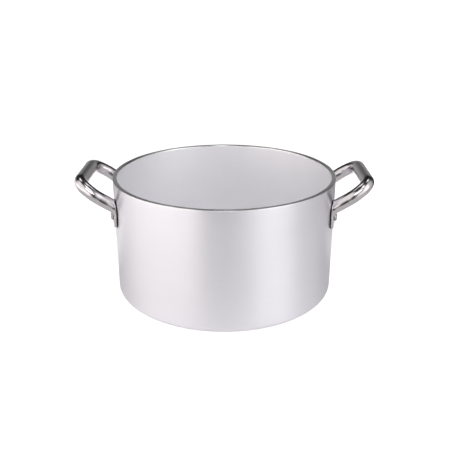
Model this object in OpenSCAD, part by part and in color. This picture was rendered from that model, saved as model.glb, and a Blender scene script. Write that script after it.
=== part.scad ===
/* [Pot] */
// Outside diameter of the pot
pot_d = 240; // [216:2:280]
// Height from the base to the rim
pot_h = 130; // [126:1:200]
// Thickness of the wall
wall_t = 5; // [3:0.5:6]
// Thickness of the base
base_t = 5.5; // [4:0.5:9]
// Radius of the outer bottom corner
corner_r = 6; // [3:0.5:12]
// Radius of the inner bottom corner
inner_corner_r = 12; // [8:1:20]
// Radius that breaks the outer edge of the rim
rim_edge_r = 0.6; // [0.3:0.1:1]
// Radius that rounds the inner lip of the rim
lip_r = 1.4; // [0.6:0.1:1.8]
// Depth of the shallow hollow turned into the underside
dish_depth = 0.8; // [0.4:0.1:1.5]

/* [Handles] */
// Diameter of the handle tube
tube_d = 13.8; // [12.2:0.2:14]
// Wall thickness of the handle tube
tube_t = 1.2; // [0.8:0.1:1.6]
// Reach of the grip's centreline beyond the pot wall
grip_reach = 30.4; // [29:0.2:36]
// Height of the grip's centreline below the rim
grip_below_rim = 1.6; // [-3:0.2:5]
// Half of the distance between the grip's two corners
corner_half = 36; // [34:0.5:38]
// Slope of the handle loop above horizontal
loop_tilt = 34.5; // [32:0.5:37]
// Centreline radius of the two corner bends
bend_r = 16; // [15:0.5:20.5]
// Centreline radius of the slight bend in each leg
leg_bend_r = 20; // [16:1:21]

/* [Feet and rivets] */
// Angle of each foot from the handle's middle, seen from above
foot_angle = 19.6; // [19:0.1:20.6]
// Thickness of the flattened foot
foot_t = 3.3; // [2.6:0.1:3.6]
// Width of the foot at its widest
foot_w = 18.6; // [17.6:0.2:20]
// Width of the foot's rounded lower end
foot_low_w = 13.6; // [12:0.2:16]
// Distance of the foot's top edge below the rim
foot_top_drop = 18; // [17:0.5:19]
// Distance of the foot's bottom edge below the rim
foot_low_drop = 48.4; // [47:0.2:54]
// Distance of the rivets' centres below the rim
rivet_drop = 35.8; // [35.4:0.2:37]
// Diameter of a rivet's shank
shank_d = 5; // [4:0.2:5.4]
// Diameter of a rivet's outer head
head_d = 7.4; // [6.6:0.2:8]
// Height of a rivet's outer head
head_h = 2.2; // [1.8:0.1:2.8]
// Diameter of a rivet's inner head, set flush with the wall
inner_head_d = 8; // [7:0.5:9]
// Depth of the countersink that holds a rivet's inner head
inner_head_h = 1.6; // [1:0.1:2]

/* [Hidden] */

$fn = 96;
pot_r = pot_d / 2;
inner_r = pot_r - wall_t;
tube_r = tube_d / 2;
bore_r = tube_r - tube_t;
grip_x = pot_r + grip_reach;
grip_z = pot_h - grip_below_rim;
foot_top = pot_h - foot_top_drop;
foot_low = pot_h - foot_low_drop;
foot_r = foot_w / 2;
foot_low_r = foot_low_w / 2;
foot_top_r = 4;
rivet_z = pot_h - rivet_drop;

// corners of a rounded edge, from angle a0 to a1 about c
function arc(c, r, a0, a1, n = 8) =
    [for (i = [0:n]) c + r * [cos(a0 + (a1 - a0) * i / n), sin(a0 + (a1 - a0) * i / n)]];

// ---- pot ----

pot_outline = concat(
    [[0, dish_depth], [pot_r - corner_r - 9, dish_depth], [pot_r - corner_r - 7.5, 0]],
    arc([pot_r - corner_r, corner_r], corner_r, -90, 0, 10),
    arc([pot_r - rim_edge_r, pot_h - rim_edge_r], rim_edge_r, 0, 90, 4),
    arc([inner_r + lip_r, pot_h - lip_r], lip_r, 90, 180, 6),
    arc([inner_r - inner_corner_r, base_t + inner_corner_r], inner_corner_r, 0, -90, 12),
    [[0, base_t]]);

// puts its children on a foot's axis: local X is radial, local Z is up
module at_angle(a, z) { rotate([0, 0, a]) translate([0, 0, z]) children(); }

// a flush head's flat face lies where its rim meets the curved wall
flush_r = sqrt(inner_r * inner_r - inner_head_d * inner_head_d / 4);
sink_slope = (inner_head_d - shank_d) / 2 / inner_head_h;

module rivet_holes() {
    for (s = [-1, 1])
        at_angle(s * foot_angle, rivet_z) rotate([0, 90, 0]) {
            translate([0, 0, inner_r - 6]) cylinder(h = wall_t + 20, d = shank_d, $fn = 48);
            translate([0, 0, flush_r - 2]) cylinder(h = inner_head_h + 2, r1 = inner_head_d / 2 + 2 * sink_slope, r2 = shank_d / 2, $fn = 48);
        }
}

module pot_body() {
    color("silver")
    difference() {
        rotate_extrude($fn = 180) polygon(pot_outline);
        rivet_holes();
        mirror([1, 0, 0]) rivet_holes();
    }
}

// ---- handles ----

// centreline of one leg in the plane of the loop: local X runs outwards, Y along the grip
leg_mid = [-19, 42 + (corner_half - 36)];
leg_end_y = pot_r * sin(foot_angle);
cos_t = cos(loop_tilt);
sin_t = sin(loop_tilt);
// where the leg's centreline meets the wall, measured down the slope
leg_wall_u = (pot_r * cos(foot_angle) - grip_x) / cos_t;
// the leg stays round until this far from the wall
flare_len = 19;
leg_round_u = leg_wall_u + flare_len;
// the leg's end in the loop plane, where the flare starts
leg_end = [leg_round_u, leg_mid[1] + (leg_end_y - leg_mid[1]) * (leg_mid[0] - leg_round_u) / (leg_mid[0] - leg_wall_u)];
dir_grip = 90;
dir_leg = 180 - atan2(leg_mid[1] - corner_half, -leg_mid[0]);
dir_end = 180 - atan2(leg_end[1] - leg_mid[1], leg_mid[0] - leg_end[0]);
turn_1 = dir_leg - dir_grip;
turn_2 = dir_end - dir_leg;
cut_1 = bend_r * tan(turn_1 / 2);
cut_2 = leg_bend_r * tan(turn_2 / 2);
function unit(a) = [cos(a), sin(a)];
p1 = [0, corner_half - cut_1];
p2 = [0, corner_half] + cut_1 * unit(dir_leg);
p3 = leg_mid - cut_2 * unit(dir_leg);
p4 = leg_mid + cut_2 * unit(dir_end);

// a straight length of tube from a to b that runs e on into the piece at each end
module straight(a, b, r, e0 = 0, e1 = 0) {
    v = (b - a) / norm(b - a);
    translate([a[0] - e0 * v[0], a[1] - e0 * v[1], 0]) rotate([0, 0, atan2(v[1], v[0])]) rotate([0, 90, 0])
        cylinder(h = norm(b - a) + e0 + e1, r = r, $fn = 64);
}

module bend(start, dir, radius, turn, r) {
    c = start + radius * unit(dir + 90);
    translate([c[0], c[1], 0]) rotate([0, 0, dir - 90]) rotate_extrude(angle = turn, $fn = 96) translate([radius, 0]) circle(r = r + 0.015, $fn = 64);
}

// the round part of one leg, from the end of the grip to where the leg starts to flare
module half_loop(r) {
    bend(p1, dir_grip, bend_r, turn_1, r);
    straight(p2, p3, r, 0.4, 0.4);
    bend(p3, dir_leg, leg_bend_r, turn_2, r);
    straight(p4, leg_end, r, 0.4);
}

module round_loop(r) {
    translate([grip_x, 0, grip_z]) rotate([0, -loop_tilt, 0]) {
        straight([0, -p1[1]], p1, r, 0.4, 0.4);
        half_loop(r);
        mirror([0, 1, 0]) half_loop(r);
    }
}

// a point of the loop plane in the pot's own axes, raised w off that plane
function lift(u, v, w) = [grip_x + u * cos_t - w * sin_t, v, grip_z + u * sin_t + w * cos_t];

// the flare: sections that turn from the round tube into the broad foot on the wall
ring_n = 40;
steps = 22;
wall_n = [cos(foot_angle), sin(foot_angle), 0];
wall_u = [-sin(foot_angle), cos(foot_angle), 0];
sink = 3;
leg_dir = lift(cos(dir_end), sin(dir_end), 0) - lift(0, 0, 0);
function spow(v, p) = sign(v) * pow(abs(v), p);
// the tube's underside meets the foot's front this far below the rim
underside_drop = 33.4;
flare_mid_z = (foot_top - 0.4 + pot_h - underside_drop) / 2;
flare_half_z = (foot_top - 0.4 - pot_h + underside_drop) / 2;
function round_pt(a, r) = lift(leg_end[0], leg_end[1], 0) - 0.3 * leg_dir
    + r * cos(a) * (lift(-sin(dir_end), cos(dir_end), 0) - lift(0, 0, 0)) * -1
    + r * sin(a) * [-sin_t, 0, cos_t];
function run_pt(a, r) = let (p = round_pt(a, r)) p + leg_dir * ((pot_r - sink - p * wall_n) / (leg_dir * wall_n));
function foot_pt(a) = (pot_r - sink) * wall_n
    + wall_u * spow(cos(a), 0.7) * (foot_top_r + 1 + (foot_r - 0.3 - foot_top_r - 1) * min(1, (1 - sin(a)) / 1.3))
    + [0, 0, flare_mid_z + flare_half_z * spow(sin(a), 0.85)];
function flare_pt(s, a) = (1 - s) * round_pt(a, tube_r - 0.08) + s * run_pt(a, tube_r - 0.08)
    + pow(s, 2.4) * (foot_pt(a) - run_pt(a, tube_r - 0.08));
flare_pts = concat(
    [for (i = [0:ring_n - 1]) round_pt(i * 360 / ring_n, tube_r - 0.3) - 1.5 * leg_dir],
    [for (k = [0:steps]) for (i = [0:ring_n - 1]) flare_pt(k / steps, i * 360 / ring_n)]);
function quad(a, b, c, d) = [[a, b, c], [a, c, d]];
flare_faces = concat(
    [[for (i = [ring_n - 1:-1:0]) i]],
    [for (k = [0:steps]) for (i = [0:ring_n - 1])
        let (j = (i + 1) % ring_n, o = k * ring_n)
        for (q = [0:1]) quad(o + i, o + j, o + ring_n + j, o + ring_n + i)[q]],
    [[for (i = [0:ring_n - 1]) (steps + 1) * ring_n + i]]);

// the outline of a foot, local X up: round below, widening upwards, then drawn in to a narrow top
foot_zl = foot_low + foot_low_r;
foot_zm = foot_top - 11.5;
foot_zt = foot_top - foot_top_r;
foot_taper = asin((foot_r - foot_top_r) / (foot_zt - foot_zm));
foot_spread = asin((foot_r - foot_low_r) / (foot_zm - foot_zl));
foot_outline = concat(
    arc([foot_zl, 0], foot_low_r, 90 + foot_spread, 270 - foot_spread, 24),
    arc([foot_zm, 0], foot_r, -90 - foot_spread, -90 + foot_taper, 8),
    arc([foot_zt, 0], foot_top_r, -90 + foot_taper, 90 - foot_taper, 10),
    arc([foot_zm, 0], foot_r, 90 - foot_taper, 90 + foot_spread, 8));

module foot_plate() {
    intersection() {
        difference() {
            translate([0, 0, foot_low - 5]) cylinder(h = foot_top - foot_low + 10, r = pot_r + foot_t, $fn = 180);
            translate([0, 0, foot_low - 6]) cylinder(h = foot_top - foot_low + 12, r = pot_r, $fn = 180);
        }
        rotate([0, 0, foot_angle]) translate([pot_r - 12, 0, 0]) rotate([0, -90, 0]) mirror([0, 0, 1]) linear_extrude(height = 24) polygon(foot_outline);
    }
}

module foot() {
    difference() {
        union() {
            foot_plate();
            polyhedron(points = flare_pts, faces = flare_faces, convexity = 6);
        }
        cylinder(h = pot_h + 10, r = pot_r, $fn = 180);
        at_angle(foot_angle, rivet_z) {
            translate([pot_r - 5, 0, 0]) rotate([0, 90, 0]) cylinder(h = 20, d = shank_d, $fn = 48);
            translate([pot_r + foot_t, 0, 0]) rotate([0, 90, 0]) cylinder(h = 8, d = head_d + 0.8, $fn = 48);
        }
    }
}

module handle() {
    difference() {
        union() {
            round_loop(tube_r);
            foot();
            mirror([0, 1, 0]) foot();
        }
        round_loop(bore_r);
    }
}

module handle_right() { color("gainsboro") handle(); }
module handle_left() { color("gainsboro") mirror([1, 0, 0]) handle(); }

// ---- rivets ----

// a rivet along local X: outer head on the foot, shank through foot and wall, flush countersunk head inside
module rivet() {
    color("lightgrey")
    rotate([0, 90, 0]) rotate_extrude($fn = 48) polygon(concat(
        [[0, flush_r], [inner_head_d / 2, flush_r], [shank_d / 2, flush_r + inner_head_h],
         [shank_d / 2, pot_r + foot_t], [head_d / 2, pot_r + foot_t]],
        arc([head_d / 2 - 0.9, pot_r + foot_t + head_h - 0.9], 0.9, 0, 90, 5),
        [[0, pot_r + foot_t + head_h]]));
}

// side is 1 right or -1 left, end is -1 front or 1 back
module placed_rivet(side, end) {
    mirror([side < 0 ? 1 : 0, 0, 0]) at_angle(end * foot_angle, rivet_z) rivet();
}

module rivet_left_front() { placed_rivet(-1, -1); }
module rivet_left_back() { placed_rivet(-1, 1); }
module rivet_right_front() { placed_rivet(1, -1); }
module rivet_right_back() { placed_rivet(1, 1); }

pot_body();
handle_left();
handle_right();
rivet_left_front();
rivet_left_back();
rivet_right_front();
rivet_right_back();
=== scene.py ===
import math

import bpy
import numpy as np
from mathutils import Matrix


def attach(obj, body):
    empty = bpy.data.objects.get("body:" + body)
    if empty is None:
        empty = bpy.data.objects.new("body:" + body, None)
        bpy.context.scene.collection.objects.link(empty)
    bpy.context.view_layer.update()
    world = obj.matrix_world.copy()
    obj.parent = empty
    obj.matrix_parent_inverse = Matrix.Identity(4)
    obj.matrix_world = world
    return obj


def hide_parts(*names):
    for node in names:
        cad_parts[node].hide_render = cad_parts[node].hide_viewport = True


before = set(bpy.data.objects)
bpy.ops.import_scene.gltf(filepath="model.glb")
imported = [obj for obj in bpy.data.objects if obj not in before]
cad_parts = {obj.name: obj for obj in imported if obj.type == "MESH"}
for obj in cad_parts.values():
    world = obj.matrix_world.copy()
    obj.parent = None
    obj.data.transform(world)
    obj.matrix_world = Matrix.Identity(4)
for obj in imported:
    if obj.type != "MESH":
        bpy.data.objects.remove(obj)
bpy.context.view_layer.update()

# ---------------------------------------------------------------- sizes, in millimetres, as in part.scad
POT_R, POT_H, WALL, BASE = 120.0, 130.0, 5.0, 5.5
CORNER, IN_CORNER, RIM_EDGE, LIP, DISH = 6.0, 12.0, 0.6, 1.4, 0.8
TUBE_R = 6.9
GRIP_X, GRIP_Z = POT_R + 30.4, POT_H - 1.6
CORNER_HALF, TILT, BEND_R, LEG_BEND_R = 36.0, math.radians(34.5), 16.0, 20.0
FOOT_A = math.radians(19.6)
FOOT_T, FOOT_R, FOOT_LOW_R = 3.3, 9.3, 6.8
FOOT_TOP, FOOT_LOW = POT_H - 18.0, POT_H - 48.4
RIVET_Z = POT_H - 35.8
HEAD_R, HEAD_H, SHANK_R = 3.7, 2.2, 2.5
IN_HEAD_R, IN_HEAD_H = 4.0, 1.6
IN_R = POT_R - WALL
MM = 0.001


# ---------------------------------------------------------------- mesh helpers

def make_object(name, verts, faces, material, smooth=True):
    mesh = bpy.data.meshes.new(name)
    mesh.from_pydata([tuple(float(c) * MM for c in v) for v in verts], [], faces)
    mesh.validate()
    mesh.update()
    if smooth:
        mesh.polygons.foreach_set("use_smooth", [True] * len(mesh.polygons))
    mesh.materials.append(material)
    obj = bpy.data.objects.new(name, mesh)
    bpy.context.scene.collection.objects.link(obj)
    return obj


def arc(cx, cy, r, a0, a1, n):
    a = np.radians(np.linspace(a0, a1, n + 1))
    return [(cx + r * math.cos(t), cy + r * math.sin(t)) for t in a]


def line(p, q, n):
    return [(p[0] + (q[0] - p[0]) * i / n, p[1] + (q[1] - p[1]) * i / n) for i in range(1, n)]


def revolve(profile, seg, axis_point=(0.0, 0.0, 0.0), frame3=None):
    """A closed skin of revolution. The profile runs from axis to axis as (radius, height), outside on its left."""
    if frame3 is None:
        frame3 = np.eye(3)
    o = np.array(axis_point, float)
    verts, faces, rows = [], [], []
    for r, h in profile:
        if r < 1e-6:
            rows.append([len(verts)])
            verts.append(o + frame3 @ np.array([0.0, 0.0, h]))
        else:
            start = len(verts)
            for k in range(seg):
                t = 2 * math.pi * k / seg
                verts.append(o + frame3 @ np.array([r * math.cos(t), r * math.sin(t), h]))
            rows.append(list(range(start, start + seg)))
    for a, b in zip(rows[:-1], rows[1:]):
        for k in range(seg):
            j = (k + 1) % seg
            if len(a) == 1 and len(b) > 1:
                faces.append((a[0], b[j], b[k]))
            elif len(b) == 1 and len(a) > 1:
                faces.append((a[k], a[j], b[0]))
            elif len(a) > 1 and len(b) > 1:
                faces.append((a[k], a[j], b[j], b[k]))
    return verts, faces


def unit(v):
    v = np.asarray(v, float)
    return v / np.linalg.norm(v)


def smooth01(x):
    x = np.clip(x, 0.0, 1.0)
    return x * x * (3 - 2 * x)


def fillet_line(points, radii, n=14):
    """A polyline with its inner corners rounded."""
    out = [np.array(points[0], float)]
    for i in range(1, len(points) - 1):
        a, b, c = (np.array(p, float) for p in (points[i - 1], points[i], points[i + 1]))
        u, v = unit(a - b), unit(c - b)
        ang = math.acos(np.clip(u @ v, -1, 1))
        r = radii[i]
        t = r / math.tan(ang / 2)
        centre = b + unit(u + v) * (r / math.sin(ang / 2))
        e1, e2, tot = (b + u * t - centre) / r, (b + v * t - centre) / r, math.pi - ang
        for k in range(n + 1):
            w = tot * k / n
            out.append(centre + r * (math.sin(tot - w) * e1 + math.sin(w) * e2) / math.sin(tot))
    out.append(np.array(points[-1], float))
    return np.array(out)


class Line:
    """A polyline looked up by distance along it."""

    def __init__(self, pts):
        self.p = np.asarray(pts, float)
        self.d = np.r_[0, np.cumsum(np.linalg.norm(np.diff(self.p, axis=0), axis=1))]

    def at(self, s):
        return np.array([np.interp(s, self.d, self.p[:, k]) for k in range(3)])

    def nearest(self, q):
        best, where = 1e9, 0.0
        for s in np.linspace(0, self.d[-1], 4000):
            e = np.linalg.norm(self.at(s) - q)
            if e < best:
                best, where = e, s
        return where


def hermite(knots, values, x):
    """Smooth monotone interpolation through the knots."""
    k, v = np.asarray(knots, float), np.asarray(values, float)
    h = np.diff(k)
    s = np.diff(v) / h
    m = np.zeros(len(k))
    for i in range(1, len(k) - 1):
        if s[i - 1] * s[i] > 0:
            w1, w2 = 2 * h[i] + h[i - 1], h[i] + 2 * h[i - 1]
            m[i] = (w1 + w2) / (w1 / s[i - 1] + w2 / s[i])
    m[0], m[-1] = s[0], s[-1]
    i = int(np.clip(np.searchsorted(k, x) - 1, 0, len(k) - 2))
    t = (x - k[i]) / h[i]
    return ((1 + 2 * t) * (1 - t) ** 2 * v[i] + t * (1 - t) ** 2 * h[i] * m[i]
            + t * t * (3 - 2 * t) * v[i + 1] + t * t * (t - 1) * h[i] * m[i + 1])


# ---------------------------------------------------------------- node helpers

class Nodes:
    def __init__(self, tree):
        self.t = tree
        tree.nodes.clear()

    def add(self, kind, **props):
        n = self.t.nodes.new(kind)
        for k, v in props.items():
            setattr(n, k, v)
        return n

    def link(self, a, b):
        self.t.links.new(a, b)

    def put(self, socket, value):
        if isinstance(value, bpy.types.NodeSocket):
            self.link(value, socket)
        else:
            socket.default_value = value

    def math(self, op, a, b=None, c=None, clamp=False):
        n = self.add("ShaderNodeMath", operation=op, use_clamp=clamp)
        for i, v in enumerate((a, b, c)):
            if v is not None:
                self.put(n.inputs[i], v)
        return n.outputs[0]

    def ramp(self, value, lo, hi, to_lo=0.0, to_hi=1.0, smooth=False):
        n = self.add("ShaderNodeMapRange", interpolation_type="SMOOTHSTEP" if smooth else "LINEAR")
        n.clamp = True
        self.put(n.inputs["Value"], value)
        self.put(n.inputs["From Min"], lo)
        self.put(n.inputs["From Max"], hi)
        self.put(n.inputs["To Min"], to_lo)
        self.put(n.inputs["To Max"], to_hi)
        return n.outputs["Result"]

    def noise(self, vector, scale, detail=2.0, rough=0.5):
        n = self.add("ShaderNodeTexNoise")
        self.put(n.inputs["Vector"], vector)
        n.inputs["Scale"].default_value = scale
        n.inputs["Detail"].default_value = detail
        n.inputs["Roughness"].default_value = rough
        return n.outputs["Fac"]

    def combine(self, x, y, z):
        n = self.add("ShaderNodeCombineXYZ")
        for i, v in enumerate((x, y, z)):
            self.put(n.inputs[i], v)
        return n.outputs[0]

    def mix(self, fac, a, b):
        n = self.add("ShaderNodeMix", data_type="RGBA")
        self.put(n.inputs["Factor"], fac)
        for s, v in ((n.inputs[6], a), (n.inputs[7], b)):
            if isinstance(v, bpy.types.NodeSocket):
                self.link(v, s)
            else:
                s.default_value = (*v, 1.0)
        return n.outputs[2]


def object_xyz(n):
    tc = n.add("ShaderNodeTexCoord")
    sep = n.add("ShaderNodeSeparateXYZ")
    n.link(tc.outputs["Object"], sep.inputs[0])
    return tc.outputs["Object"], sep.outputs[0], sep.outputs[1], sep.outputs[2]


def turned_aluminium(name, base=(0.80, 0.80, 0.81), rough=0.30, aniso=0.75, lines=1.0, metal=1.0, painted_gap_shade=False, turn=0.25):
    """Aluminium finished on a lathe: fine lines round the pot's axis, on the wall, the rim and the base alike."""
    mat = bpy.data.materials.new(name)
    mat.use_nodes = True
    n = Nodes(mat.node_tree)
    out = n.add("ShaderNodeOutputMaterial")
    bsdf = n.add("ShaderNodeBsdfPrincipled")
    n.link(bsdf.outputs[0], out.inputs[0])
    vec, x, y, z = object_xyz(n)
    r = n.math("SQRT", n.math("ADD", n.math("MULTIPLY", x, x), n.math("MULTIPLY", y, y)))
    along = n.math("ADD", z, r)
    # fine turning lines, a coarser cut, and soft cloudiness
    fine = n.noise(n.combine(n.math("MULTIPLY", x, 14.0), n.math("MULTIPLY", y, 14.0), n.math("MULTIPLY", along, 2600.0)), 1.0, 3.0, 0.6)
    cut = n.noise(n.combine(n.math("MULTIPLY", x, 5.0), n.math("MULTIPLY", y, 5.0), n.math("MULTIPLY", along, 620.0)), 1.0, 2.0, 0.5)
    cloud = n.noise(vec, 16.0, 4.0, 0.55)
    spots = n.noise(vec, 160.0, 3.0, 0.6)
    tone = n.ramp(cloud, 0.3, 0.7, 0.0, 1.0)
    col = n.mix(tone, tuple(c * 0.97 for c in base), base)
    streak = n.ramp(fine, 0.25, 0.75, 0.0, 0.16 * lines)
    col = n.mix(streak, col, tuple(c * 0.84 for c in base))
    fleck = n.ramp(spots, 0.70, 0.82, 0.0, 0.10)
    col = n.mix(fleck, col, tuple(c * 0.72 for c in base))
    if painted_gap_shade:
        # painted shade: a dark line in the gap round each foot, where shade falls between the foot and the wall,
        # mirrored to all four feet
        ax, ay = n.math("ABSOLUTE", x), n.math("ABSOLUTE", y)
        u = n.math("MULTIPLY", n.math("SUBTRACT", n.math("ARCTAN2", ay, ax), FOOT_A), POT_R * MM)
        below = n.math("MAXIMUM", n.math("SUBTRACT", (FOOT_LOW + FOOT_LOW_R) * MM, z), 0.0)
        dist = n.math("SQRT", n.math("ADD", n.math("MULTIPLY", u, u), n.math("MULTIPLY", below, below)))
        wide = n.ramp(z, 88.4 * MM, 99.5 * MM, FOOT_LOW_R * MM, (FOOT_R - 0.1) * MM)
        edge = n.math("MINIMUM", wide, n.ramp(z, 99.0 * MM, 111.0 * MM, FOOT_R * MM, 3.4 * MM))
        gap = n.math("SUBTRACT", dist, edge)
        gap_shade_line = n.math("MULTIPLY", n.ramp(gap, 0.35 * MM, 1.25 * MM, 1.0, 0.0, True), n.ramp(z, 111.5 * MM, 113.0 * MM, 1.0, 0.0))
        uneven = n.ramp(spots, 0.3, 0.7, 0.75, 1.0)
        col = n.mix(n.math("MULTIPLY", n.math("MULTIPLY", gap_shade_line, uneven), 0.82), col, (0.09, 0.085, 0.085))
    n.put(bsdf.inputs["Base Color"], col)
    bsdf.inputs["Metallic"].default_value = metal
    rr = n.math("ADD", n.ramp(fine, 0.2, 0.8, rough - 0.035, rough + 0.035), n.ramp(cloud, 0.25, 0.75, -0.02, 0.025))
    n.put(bsdf.inputs["Roughness"], rr)
    bsdf.inputs["Anisotropic"].default_value = aniso
    bsdf.inputs["Anisotropic Rotation"].default_value = turn
    tan = n.add("ShaderNodeTangent", direction_type="RADIAL", axis="Z")
    n.link(tan.outputs[0], bsdf.inputs["Tangent"])
    height = n.math("ADD", n.math("MULTIPLY", fine, 0.6), n.math("MULTIPLY", cut, 0.8))
    bump = n.add("ShaderNodeBump")
    bump.inputs["Strength"].default_value = 0.10 * lines
    bump.inputs["Distance"].default_value = 0.00012
    n.link(height, bump.inputs["Height"])
    n.link(bump.outputs[0], bsdf.inputs["Normal"])
    return mat


def polished_steel(name, base=(0.585, 0.562, 0.575), rough=0.16):
    """Tube polished along its length, with faint rubbing and a few fine scratches."""
    mat = bpy.data.materials.new(name)
    mat.use_nodes = True
    n = Nodes(mat.node_tree)
    out = n.add("ShaderNodeOutputMaterial")
    bsdf = n.add("ShaderNodeBsdfPrincipled")
    n.link(bsdf.outputs[0], out.inputs[0])
    vec, x, y, z = object_xyz(n)
    cloud = n.noise(vec, 70.0, 4.0, 0.6)
    scratch = n.noise(n.combine(n.math("MULTIPLY", x, 900.0), n.math("MULTIPLY", y, 90.0), n.math("MULTIPLY", z, 900.0)), 1.0, 2.0, 0.6)
    rub = n.noise(vec, 420.0, 3.0, 0.6)
    col = n.mix(n.ramp(cloud, 0.3, 0.75, 0.0, 1.0), base, tuple(c * 0.93 for c in base))
    r = n.math("SQRT", n.math("ADD", n.math("MULTIPLY", x, x), n.math("MULTIPLY", y, y)))
    # painted shade: the steel turns near black within 1.5 mm of the pot's wall, for the shade in the crevice between
    # foot and wall
    painted_crevice_shade = n.ramp(r, (POT_R + 0.7) * MM, (POT_R + 1.5) * MM, 0.85, 0.0, True)
    col = n.mix(painted_crevice_shade, col, (0.08, 0.075, 0.075))
    n.put(bsdf.inputs["Base Color"], col)
    bsdf.inputs["Metallic"].default_value = 1.0
    rr = n.math("ADD", n.ramp(cloud, 0.25, 0.75, rough - 0.03, rough + 0.03), n.ramp(scratch, 0.55, 0.75, 0.0, 0.05))
    n.put(bsdf.inputs["Roughness"], rr)
    bump = n.add("ShaderNodeBump")
    bump.inputs["Strength"].default_value = 0.05
    bump.inputs["Distance"].default_value = 0.0001
    n.link(n.math("ADD", n.math("MULTIPLY", rub, 0.5), n.math("MULTIPLY", scratch, 0.5)), bump.inputs["Height"])
    n.link(bump.outputs[0], bsdf.inputs["Normal"])
    return mat


def rivet_metal(name, base=(0.46, 0.455, 0.46), rough=0.34):
    """Upset rivet heads: aluminium with a slightly hammered, rubbed surface, coloured far darker than the pot's
    aluminium as painted shade for the shadow under the leg.
    """
    mat = bpy.data.materials.new(name)
    mat.use_nodes = True
    n = Nodes(mat.node_tree)
    out = n.add("ShaderNodeOutputMaterial")
    bsdf = n.add("ShaderNodeBsdfPrincipled")
    n.link(bsdf.outputs[0], out.inputs[0])
    vec, x, y, z = object_xyz(n)
    dent = n.noise(vec, 520.0, 2.0, 0.5)
    cloud = n.noise(vec, 240.0, 4.0, 0.6)
    # the dark base colour is painted shade for the shadow under the leg
    n.put(bsdf.inputs["Base Color"], n.mix(n.ramp(cloud, 0.3, 0.7, 0.0, 1.0), base, tuple(c * 0.82 for c in base)))
    bsdf.inputs["Metallic"].default_value = 1.0
    n.put(bsdf.inputs["Roughness"], n.ramp(cloud, 0.25, 0.75, rough - 0.05, rough + 0.07))
    bump = n.add("ShaderNodeBump")
    bump.inputs["Strength"].default_value = 0.25
    bump.inputs["Distance"].default_value = 0.0003
    n.link(dent, bump.inputs["Height"])
    n.link(bump.outputs[0], bsdf.inputs["Normal"])
    return mat


ALU = turned_aluminium("pot_turned_outside", base=(0.865, 0.855, 0.890), rough=0.42, aniso=0.85, painted_gap_shade=True)
ALU_IN = turned_aluminium("pot_turned_inside", base=(0.885, 0.882, 0.905), rough=0.60, aniso=0.60, metal=0.45)
ALU_RIM = turned_aluminium("pot_machined_rim", base=(0.86, 0.86, 0.865), rough=0.28, aniso=0.88)
STEEL = polished_steel("handle_polished_steel")
RIVET = rivet_metal("rivet_aluminium")


# ---------------------------------------------------------------- pot

def pot_profile():
    """From the middle of the underside, out, up the wall, over the rim and down the inside to the middle."""
    p = [(0.0, DISH)]
    p += line((0.0, DISH), (POT_R - CORNER - 9.2, DISH), 10)
    p += [(POT_R - CORNER - 9.2, DISH), (POT_R - CORNER - 8.7, DISH - 0.08), (POT_R - CORNER - 8.0, 0.10), (POT_R - CORNER - 7.5, 0.0)]
    p += line((POT_R - CORNER - 7.5, 0.0), (POT_R - CORNER, 0.0), 4)
    p += arc(POT_R - CORNER, CORNER, CORNER, -90, 0, 16)
    p += line((POT_R, CORNER), (POT_R, POT_H - RIM_EDGE), 26)
    p += arc(POT_R - RIM_EDGE, POT_H - RIM_EDGE, RIM_EDGE, 0, 90, 7)
    p += line((POT_R - RIM_EDGE, POT_H), (IN_R + LIP, POT_H), 4)
    p += arc(IN_R + LIP, POT_H - LIP, LIP, 90, 180, 9)
    p += line((IN_R, POT_H - LIP), (IN_R, BASE + IN_CORNER), 24)
    p += arc(IN_R - IN_CORNER, BASE + IN_CORNER, IN_CORNER, 0, -90, 20)
    p += line((IN_R - IN_CORNER, BASE), (0.0, BASE), 12)
    p += [(0.0, BASE)]
    return p


verts, faces = revolve(pot_profile(), 288)
pot = make_object("pot_shell", verts, faces, ALU)
pot.data.materials.append(ALU_IN)
pot.data.materials.append(ALU_RIM)
for poly in pot.data.polygons:
    c = poly.center / MM
    rad = math.hypot(c.x, c.y)
    if c.z > POT_H - LIP * 1.02:
        poly.material_index = 2 if c.z > POT_H - RIM_EDGE or rad < POT_R - 1.0 else 0
    elif rad < IN_R + 0.2 and c.z > BASE - 0.1:
        poly.material_index = 1
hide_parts("pot_body")
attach(pot, "root")


# ---------------------------------------------------------------- handles

CT, ST = math.cos(TILT), math.sin(TILT)
PLANE_N = np.array([-ST, 0.0, CT])


def lift(u, v):
    return np.array([GRIP_X + u * CT, v, GRIP_Z + u * ST])


def lift_dir(a):
    return np.array([math.cos(a) * CT, math.sin(a), math.cos(a) * ST])


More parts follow.
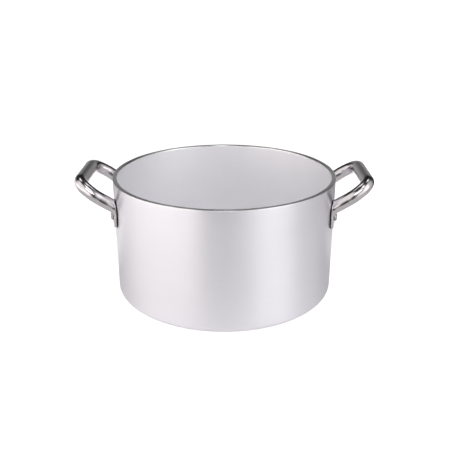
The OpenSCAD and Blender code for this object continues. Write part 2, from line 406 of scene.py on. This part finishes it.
def half_handle_rings(nring=80):
    """Rings from the middle of the right handle's grip to the bottom of its back foot."""
    leg_mid = np.array([-19.0, 42.0])
    end_y = POT_R * math.sin(FOOT_A)
    wall_uu = (POT_R * math.cos(FOOT_A) - GRIP_X) / CT
    round_u = wall_uu + 19.0
    leg_end = np.array([round_u, leg_mid[1] + (end_y - leg_mid[1]) * (leg_mid[0] - round_u) / (leg_mid[0] - wall_uu)])
    d0 = math.pi / 2
    d1 = math.pi - math.atan2(leg_mid[1] - CORNER_HALF, -leg_mid[0])
    d2 = math.pi - math.atan2(leg_end[1] - leg_mid[1], leg_mid[0] - leg_end[0])
    c1, c2 = BEND_R * math.tan((d1 - d0) / 2), LEG_BEND_R * math.tan((d2 - d1) / 2)
    e = lambda a: np.array([math.cos(a), math.sin(a)])
    p1 = np.array([0.0, CORNER_HALF - c1])
    p3 = leg_mid - c2 * e(d1)
    p2 = np.array([0.0, CORNER_HALF]) + c1 * e(d1)
    p4 = leg_mid + c2 * e(d2)
    phi = np.linspace(0, 2 * math.pi, nring, endpoint=False)
    rings = []

    def round_ring(c2d, a):
        side = lift_dir(a - math.pi / 2)
        c = lift(*c2d)
        rings.append(np.array([c + TUBE_R * (math.cos(t) * side + math.sin(t) * PLANE_N) for t in phi]))

    for k in range(9):
        round_ring(p1 * k / 8, d0)
    cen = p1 + BEND_R * e(d0 + math.pi / 2)
    for k in range(1, 37):
        a = d0 + (d1 - d0) * k / 36
        round_ring(cen + BEND_R * e(a - math.pi / 2), a)
    round_ring((p2 + p3) / 2, d1)
    cen = p3 + LEG_BEND_R * e(d1 + math.pi / 2)
    for k in range(0, 13):
        a = d1 + (d2 - d1) * k / 12
        round_ring(cen + LEG_BEND_R * e(a - math.pi / 2), a)
    for k in range(1, 8):
        round_ring(p4 + (leg_end - p4) * k / 8, d2)

    # the flare and the foot: the ring's top follows one line, its underside another
    n_wall = np.array([math.cos(FOOT_A), math.sin(FOOT_A), 0.0])
    u_wall = np.array([-math.sin(FOOT_A), math.cos(FOOT_A), 0.0])
    run = lift_dir(d2)
    side0 = lift_dir(d2 - math.pi / 2)
    c0 = lift(*leg_end)
    top0, low0 = c0 + TUBE_R * PLANE_N, c0 - TUBE_R * PLANE_N
    gap = 0.06

    def reach(p, r):
        """Distance along the leg until the point is r from the pot's axis."""
        a = run[0] ** 2 + run[1] ** 2
        b = 2 * (p[0] * run[0] + p[1] * run[1])
        c = p[0] ** 2 + p[1] ** 2 - r * r
        return (-b - math.sqrt(b * b - 4 * a * c)) / (2 * a)

    elbow = top0 + run * reach(top0, POT_R + gap)
    elbow = elbow + np.array([0, 0, 0.9])
    crook = low0 + run * reach(low0, POT_R + FOOT_T)
    crook = crook + np.array([0, 0, 0.8])
    back_low = (POT_R + gap) * n_wall + np.array([0, 0, FOOT_LOW])
    front_low = (POT_R + FOOT_T) * n_wall + np.array([0, 0, FOOT_LOW])
    back = Line(fillet_line([top0, elbow, back_low], [0, 1.6, 0], 12))
    front = Line(fillet_line([low0, crook, front_low], [0, 4.0, 0], 14))
    sb_elbow, sf_crook = back.nearest(elbow), front.nearest(crook)
    z_join = crook[2] - 2.6
    sb_join = sb_elbow + (back.at(sb_elbow)[2] - z_join)
    for _ in range(6):
        sb_join += back.at(sb_join)[2] - z_join
    sf_join = sf_crook + 1.5
    for _ in range(6):
        sf_join += front.at(sf_join)[2] - z_join
    # knots: 0 round end, 1 top meets the wall, 2 underside meets the foot, 3 flat foot begins
    sb_k = [0.0, sb_elbow, sb_elbow + 5.0, sb_join]
    sf_k = [0.0, sb_elbow * 0.985, sf_crook - 1.0, sf_join]
    n_flare = 64
    lean0 = math.asin((FOOT_R - FOOT_LOW_R) / (FOOT_TOP - 11.5 - FOOT_LOW - FOOT_LOW_R))
    W_JOIN = FOOT_LOW_R * math.cos(lean0) + (z_join - FOOT_LOW - FOOT_LOW_R - FOOT_LOW_R * math.sin(lean0)) * math.tan(lean0)
    for k in range(0, n_flare + 1):
        t = 3.0 * k / n_flare
        B = back.at(hermite([0, 1, 2, 3], sb_k, t))
        F = front.at(hermite([0, 1, 2, 3], sf_k, t))
        wf = hermite([0, 0.18, 0.45, 1, 2, 3], [TUBE_R, TUBE_R + 0.40, 8.0, 8.9, 9.1, W_JOIN], t)
        wb = hermite([0, 0.18, 0.45, 1, 2, 3], [TUBE_R, TUBE_R + 0.0, 6.9, 5.8, 7.4, W_JOIN], t)
        m = smooth01(t / 2.6)
        wdir = unit((1 - smooth01(t / 1.8)) * side0 + smooth01(t / 1.8) * u_wall)
        add_ring(rings, phi, B, F, wf, wb, m, wdir, n_wall, smooth01(t / 1.2))
    z_round = FOOT_LOW + FOOT_LOW_R
    z_wide = FOOT_TOP - 11.5
    lean = math.asin((FOOT_R - FOOT_LOW_R) / (z_wide - z_round))
    z_tan = z_round + FOOT_LOW_R * math.sin(lean)
    for k in range(1, 12):
        z = z_join + (z_tan - z_join) * k / 11
        w = FOOT_LOW_R * math.cos(lean) + (z - z_tan) * math.tan(lean)
        w = min(w, FOOT_R)
        foot_ring(rings, phi, z, w, (FOOT_T - gap) / 2, n_wall, u_wall, gap)
    for k in range(1, 29):
        a = -lean + (math.pi / 2 + lean) * k / 28
        z = z_round - FOOT_LOW_R * math.sin(a)
        d = z - FOOT_LOW
        ro = 1.1
        full = (FOOT_T - gap) / 2
        h = full if d > ro else full - ro + math.sqrt(max(ro * ro - (ro - d) ** 2, 0.0))
        foot_ring(rings, phi, z, max(FOOT_LOW_R * math.cos(a), 0.02), max(h, 0.02), n_wall, u_wall, gap)
    return rings


def stadium(phi, w, h):
    """Points round a slot shape 2w wide and 2h high, in step with an ellipse's angle."""
    r = min(w, h)
    fw, fh = w - r, h - r
    quarter = math.pi / 2 * r
    per = 4 * quarter + 4 * fw + 4 * fh
    out = []
    for t in phi:
        s = t / (2 * math.pi) * per
        segs = [(fh, "r"), (quarter, 0), (2 * fw, "t"), (quarter, 1), (2 * fh, "l"), (quarter, 2), (2 * fw, "b"), (quarter, 3), (fh, "r2")]
        for length, kind in segs:
            if s <= length + 1e-12:
                break
            s -= length
        f = s / length if length > 1e-12 else 0.0
        if kind == "r":
            p = (w, s)
        elif kind == "r2":
            p = (w, -fh + s)
        elif kind == "t":
            p = (fw - s, h)
        elif kind == "l":
            p = (-w, fh - s)
        elif kind == "b":
            p = (-fw + s, -h)
        else:
            cx, cy = [(fw, fh), (-fw, fh), (-fw, -fh), (fw, -fh)][kind]
            a = math.pi / 2 * (kind + f)
            p = (cx + r * math.cos(a), cy + r * math.sin(a))
        out.append(p)
    return np.array(out)


def add_ring(rings, phi, B, F, wf, wb, m, wdir, n_wall, hug):
    c, v = (B + F) / 2, (B - F) / 2
    h = np.linalg.norm(v)
    v = v / h
    w = (wf + wb) / 2
    ell = np.c_[w * np.cos(phi), h * np.sin(phi)]
    pts = (1 - m) * ell + m * stadium(phi, w, min(h, 1.65 + (1 - m) * 30))
    pts[:, 1] *= h / np.abs(pts[:, 1]).max()
    ring = []
    for px, py in pts:
        k = (py / h + 1) / 2
        lat = px / w * ((1 - k) * wf + k * wb)
        ring.append(c + lat * wdir + py * v - hug * (lat * lat / (2 * POT_R)) * n_wall)
    rings.append(np.array(ring))


def foot_ring(rings, phi, z, w, h, n_wall, u_wall, gap):
    pts = stadium(phi, w, h)
    r_mid = POT_R + gap + (FOOT_T - gap) / 2
    ring = []
    for px, py in pts:
        a = FOOT_A + px / r_mid
        r = r_mid - py
        ring.append(np.array([r * math.cos(a), r * math.sin(a), z]))
    rings.append(np.array(ring))


def handle_mesh(side):
    rings = half_handle_rings()
    n = len(rings[0])
    verts, faces = [], []
    for mirror_y in (1, -1):
        start = len(verts)
        for r in rings:
            for p in r:
                verts.append((p[0] * side, p[1] * mirror_y, p[2]))
        flip = (mirror_y * side) < 0
        for i in range(len(rings) - 1):
            for k in range(n):
                j = (k + 1) % n
                q = (start + i * n + k, start + (i + 1) * n + k, start + (i + 1) * n + j, start + i * n + j)
                faces.append(q[::-1] if flip else q)
        tip = len(verts)
        last = start + (len(rings) - 1) * n
        c = np.mean(np.array(verts[last:last + n]), axis=0)
        verts.append(tuple(c))
        for k in range(n):
            j = (k + 1) % n
            f = (last + k, tip, last + j)
            faces.append(f[::-1] if flip else f)
    return verts, faces


for word, side in (("left", -1), ("right", 1)):
    verts, faces = handle_mesh(side)
    h = make_object("tube_handle_" + word, verts, faces, STEEL)
    import bmesh
    bm = bmesh.new()
    bm.from_mesh(h.data)
    bmesh.ops.remove_doubles(bm, verts=bm.verts, dist=1e-6)
    bmesh.ops.recalc_face_normals(bm, faces=bm.faces)
    bm.to_mesh(h.data)
    bm.free()
    h.data.polygons.foreach_set("use_smooth", [True] * len(h.data.polygons))
    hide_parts("handle_" + word)
    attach(h, "root")


# ---------------------------------------------------------------- rivets

def rivet_profile():
    """Radius and distance from the pot's axis: flush countersunk head inside, shank, domed head outside."""
    a = math.sqrt(IN_R ** 2 - IN_HEAD_R ** 2)
    top = POT_R + FOOT_T
    p = [(0.0, a)]
    p += line((0.0, a), (IN_HEAD_R - 0.15, a), 4)
    p += [(IN_HEAD_R - 0.15, a), (IN_HEAD_R - 0.03, a + 0.05), (IN_HEAD_R - 0.06, a + 0.15), (SHANK_R, a + IN_HEAD_H)]
    p += [(SHANK_R, top), (HEAD_R - 0.25, top), (HEAD_R - 0.02, top + 0.14)]
    p += line((HEAD_R - 0.02, top + 0.14), (HEAD_R - 0.05, top + HEAD_H - 1.0), 3)
    p += arc(HEAD_R - 1.05, top + HEAD_H - 1.05, 1.0, 3, 72, 8)
    p += [(HEAD_R * 0.45, POT_R + FOOT_T + HEAD_H - 0.03), (0.0, POT_R + FOOT_T + HEAD_H)]
    return p


for word, side in (("left", -1), ("right", 1)):
    for end_word, end in (("front", -1), ("back", 1)):
        axis = np.array([side * math.cos(FOOT_A), end * math.sin(FOOT_A), 0.0])
        up = np.array([0.0, 0.0, 1.0])
        side_v = np.cross(up, axis)
        basis = np.column_stack([side_v, np.cross(axis, side_v), axis])
        verts, faces = revolve(rivet_profile(), 64, (0, 0, RIVET_Z), basis)
        r = make_object("rivet_%s_%s_piece" % (word, end_word), verts, faces, RIVET)
        r.data.materials.append(ALU_IN)
        for poly in r.data.polygons:
            if math.hypot(poly.center.x, poly.center.y) < (IN_R + 0.03) * MM:
                poly.material_index = 1
        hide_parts("rivet_%s_%s" % (word, end_word))
        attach(r, "root")


# ---------------------------------------------------------------- floor, light and camera

TABLE_R = 550.0


def table_material():
    """A matt white table top, lit from beneath as far as the camera is concerned so that it stays white."""
    mat = bpy.data.materials.new("table_white")
    mat.use_nodes = True
    n = Nodes(mat.node_tree)
    out = n.add("ShaderNodeOutputMaterial")
    matt = n.add("ShaderNodeBsdfDiffuse")
    matt.inputs["Color"].default_value = (0.92, 0.92, 0.92, 1.0)
    glow = n.add("ShaderNodeEmission")
    path = n.add("ShaderNodeLightPath")
    # two bright patches of lit table behind the pot, left and right, that show in the edges of its wall
    vec, x, y, z = object_xyz(n)
    r = n.math("SQRT", n.math("ADD", n.math("MULTIPLY", x, x), n.math("MULTIPLY", y, y)))
    ring = n.math("MULTIPLY", n.ramp(r, 140.0 * MM, 175.0 * MM, 0.0, 1.0, True), n.ramp(r, 255.0 * MM, 300.0 * MM, 1.0, 0.0, True))
    side = n.math("MULTIPLY", n.ramp(n.math("ABSOLUTE", x), 80.0 * MM, 125.0 * MM, 0.0, 1.0, True), n.ramp(y, 35.0 * MM, 85.0 * MM, 0.0, 0.68, True))
    patch = n.math("MULTIPLY", n.math("MULTIPLY", ring, side), n.math("SUBTRACT", 1.0, path.outputs["Is Camera Ray"]))
    n.put(glow.inputs["Strength"], n.math("ADD", n.math("MULTIPLY", path.outputs["Is Camera Ray"], 0.62), patch))
    both = n.add("ShaderNodeAddShader")
    n.link(matt.outputs[0], both.inputs[0])
    n.link(glow.outputs[0], both.inputs[1])
    n.link(both.outputs[0], out.inputs[0])
    return mat


disc = [(0.0, 0.0)] + [(TABLE_R * k / 24, 0.0) for k in range(1, 25)]
verts, faces = revolve(disc, 96)
verts = [(v[0], v[1], -0.05) for v in verts]
faces = [f[::-1] for f in faces]
floor = make_object("floor", verts, faces, table_material(), smooth=False)

# soft lights round the table: level, colour, azimuth (0 from the camera's side, + to the right) and half width,
# elevation and half height, softness of the sides and of the top and bottom, all in degrees
LIGHTS = [
    (1.33, (1.000, 0.957, 0.938), -65, 41, 31, 31, 15, 6),     # large box on the left
    (1.38, (1.000, 0.960, 0.945), -78, 58, -20, 30, 19, 15),   # its spill below the table's edge
    (1.82, (0.998, 0.984, 1.000), 53, 21, 29, 24, 13, 14),     # narrow box on the right
    (0.98, (0.995, 0.985, 1.000), 37, 23, -18, 32, 16, 16),    # its spill below the table's edge
    (5.20, (0.985, 0.985, 1.000), -2, 15, 42, 8, 7, 7),        # lamp over the camera
    (0.50, (0.995, 0.985, 1.000), 23, 11, 27, 13, 9, 9),       # reflector between lamp and right box
    (0.45, (0.998, 0.980, 0.990), -23, 9, 27, 13, 9, 9),       # reflector between lamp and left box
    (3.10, (0.990, 0.988, 1.000), 17, 21, 76, 15, 14, 12),     # lamp overhead
    (0.78, (0.990, 0.985, 1.000), 88, 28, 25, 37, 18, 10),     # bounce card on the right
    (0.38, (0.990, 0.985, 0.990), 180, 29, -2, 20, 14, 13),    # bounce card behind
    (2.60, (1.000, 0.985, 0.985), -143, 12, 62, 8, 7, 6),      # high strip behind on the left
    (2.30, (0.995, 0.990, 1.000), 143, 12, 62, 8, 7, 6),       # high strip behind on the right
    (0.45, (1.000, 0.985, 0.985), -141, 15, -5, 8, 11, 8),     # low card behind on the left
]


def studio_world():
    """A dark room with soft lights; the camera itself sees plain white behind the table."""
    world = bpy.data.worlds.new("studio")
    bpy.context.scene.world = world
    world.use_nodes = True
    n = Nodes(world.node_tree)
    out = n.add("ShaderNodeOutputWorld")
    tc = n.add("ShaderNodeTexCoord")
    sep = n.add("ShaderNodeSeparateXYZ")
    n.link(tc.outputs["Generated"], sep.inputs[0])
    x, y, z = sep.outputs
    az = n.math("MULTIPLY", n.math("ARCTAN2", x, n.math("MULTIPLY", y, -1.0)), 180 / math.pi)
    el = n.math("MULTIPLY", n.math("ARCSINE", z), 180 / math.pi)
    total = None
    ambient = (0.020, 0.020, 0.020)
    for level, colour, ac, ah, ec, eh, sa, se in LIGHTS:
        if abs(ac) == 180:
            da = n.math("SUBTRACT", 180.0, n.math("ABSOLUTE", az))
        else:
            da = n.math("ABSOLUTE", n.math("SUBTRACT", az, float(ac)))
        de = n.math("ABSOLUTE", n.math("SUBTRACT", el, float(ec)))
        w = n.math("MULTIPLY", n.ramp(da, ah - sa, ah + sa, level, 0.0, True), n.ramp(de, eh - se, eh + se, 1.0, 0.0, True))
        v = n.add("ShaderNodeVectorMath", operation="SCALE")
        v.inputs[0].default_value = colour
        n.put(v.inputs["Scale"], w)
        if total is None:
            first = n.add("ShaderNodeVectorMath", operation="ADD")
            n.link(v.outputs[0], first.inputs[0])
            first.inputs[1].default_value = ambient
            total = first.outputs[0]
        else:
            plus = n.add("ShaderNodeVectorMath", operation="ADD")
            n.link(total, plus.inputs[0])
            n.link(v.outputs[0], plus.inputs[1])
            total = plus.outputs[0]
    path = n.add("ShaderNodeLightPath")
    room = n.add("ShaderNodeBackground")
    n.link(total, room.inputs["Color"])
    room.inputs["Strength"].default_value = 1.0
    white = n.add("ShaderNodeBackground")
    white.inputs["Color"].default_value = (1, 1, 1, 1)
    white.inputs["Strength"].default_value = 1.1
    mix = n.add("ShaderNodeMixShader")
    n.link(path.outputs["Is Camera Ray"], mix.inputs[0])
    n.link(room.outputs[0], mix.inputs[1])
    n.link(white.outputs[0], mix.inputs[2])
    n.link(mix.outputs[0], out.inputs[0])


studio_world()

scene = bpy.context.scene
scene.view_settings.view_transform = "Standard"
scene.view_settings.look = "None"
scene.view_settings.exposure = 0.0
scene.view_settings.gamma = 1.0

cam_data = bpy.data.cameras.new("camera")
cam_data.sensor_width = 36.0
cam_data.sensor_fit = "HORIZONTAL"
cam_data.lens = 632.5 / 452.0 * 36.0
cam_data.clip_start = 0.01
cam_data.clip_end = 100.0
cam = bpy.data.objects.new("camera", cam_data)
scene.collection.objects.link(cam)
yaw = math.radians(0.7)
lx, ly = 0.0019, -0.6599
cam.location = (math.cos(yaw) * lx - math.sin(yaw) * ly, math.sin(yaw) * lx + math.cos(yaw) * ly, 0.3318)
cam.rotation_euler = (math.radians(90.0 - 21.86), 0.0, yaw)
scene.camera = cam
